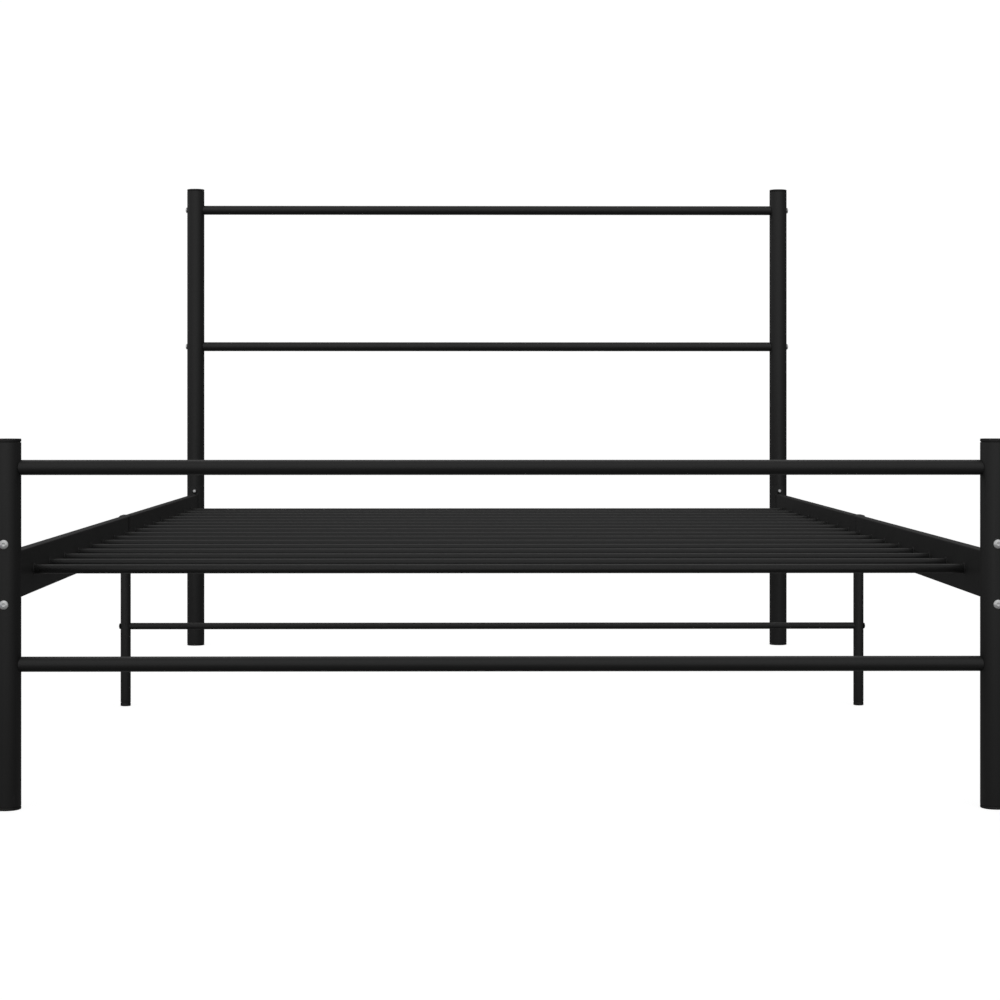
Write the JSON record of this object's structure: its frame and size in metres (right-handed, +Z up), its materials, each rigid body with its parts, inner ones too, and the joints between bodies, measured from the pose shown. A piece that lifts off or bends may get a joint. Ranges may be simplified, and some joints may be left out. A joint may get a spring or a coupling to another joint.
{
  "type": "bed frame",
  "caption": "Knock-down bed frame of black steel tube: plain round posts with bolted rungs, side rails, round slats and centre legs under the rail joints.",
  "frame": {"origin": "on the floor, at the middle of the frame's width and length", "axes": "+Y from the footboard to the headboard, +Z up, +X to the right for someone looking from the footboard to the headboard"},
  "size_m": [1.2772, 2.0822, 0.965],
  "materials": {
    "powder_coat": "satin black powder coat with a fine even texture",
    "black_plastic": "moulded black plastic, fine matt grain",
    "bright_zinc": "bright zinc plate",
    "black_screw": "black oxide",
    "bare_steel": "plain oiled steel, hidden inside the rails"
  },
  "bodies": {
    "root": {"head_post_left": "powder_coat", "head_post_right": "powder_coat", "foot_post_left": "powder_coat", "foot_post_right": "powder_coat", "head_rung_upper": "powder_coat", "head_rung_lower": "powder_coat", "foot_rung_upper": "powder_coat", "foot_rung_lower": "powder_coat", "rail_foot_left": "powder_coat", "rail_foot_right": "powder_coat", "rail_head_left": "powder_coat", "rail_head_right": "powder_coat", "saddle_foot_left": "powder_coat", "saddle_foot_right": "powder_coat", "saddle_head_left": "powder_coat", "saddle_head_right": "powder_coat", "rail_joiner_left": "powder_coat", "rail_joiner_right": "powder_coat", "centre_leg_left": "powder_coat", "centre_leg_right": "powder_coat", "leg_crossbar": "powder_coat", "rail_weld_nuts": "powder_coat", "slat_01": "powder_coat", "slat_02": "powder_coat", "slat_03": "powder_coat", "slat_04": "powder_coat", "slat_05": "powder_coat", "slat_06": "powder_coat", "slat_07": "powder_coat", "slat_08": "powder_coat", "slat_09": "powder_coat", "slat_10": "powder_coat", "slat_11": "powder_coat", "slat_12": "powder_coat", "slat_13": "powder_coat", "slat_14": "powder_coat", "slat_15": "powder_coat", "slat_16": "powder_coat", "rail_splice_left": "bare_steel", "rail_splice_right": "bare_steel", "slat_bushes_left": "black_plastic", "slat_bushes_right": "black_plastic", "cap_head_left": "black_plastic", "cap_head_right": "black_plastic", "cap_foot_left": "black_plastic", "cap_foot_right": "black_plastic", "glide_head_left": "black_plastic", "glide_head_right": "black_plastic", "glide_foot_left": "black_plastic", "glide_foot_right": "black_plastic", "leg_glide_left": "black_plastic", "leg_glide_right": "black_plastic", "rail_screws_foot": "bright_zinc", "rail_screws_head": "bright_zinc", "rung_screws": "bright_zinc", "rung_inserts": "bright_zinc", "crossbar_inserts": "bright_zinc", "crossbar_screws": "black_screw", "joiner_screws": "black_screw"}
  },
  "joints": []
}
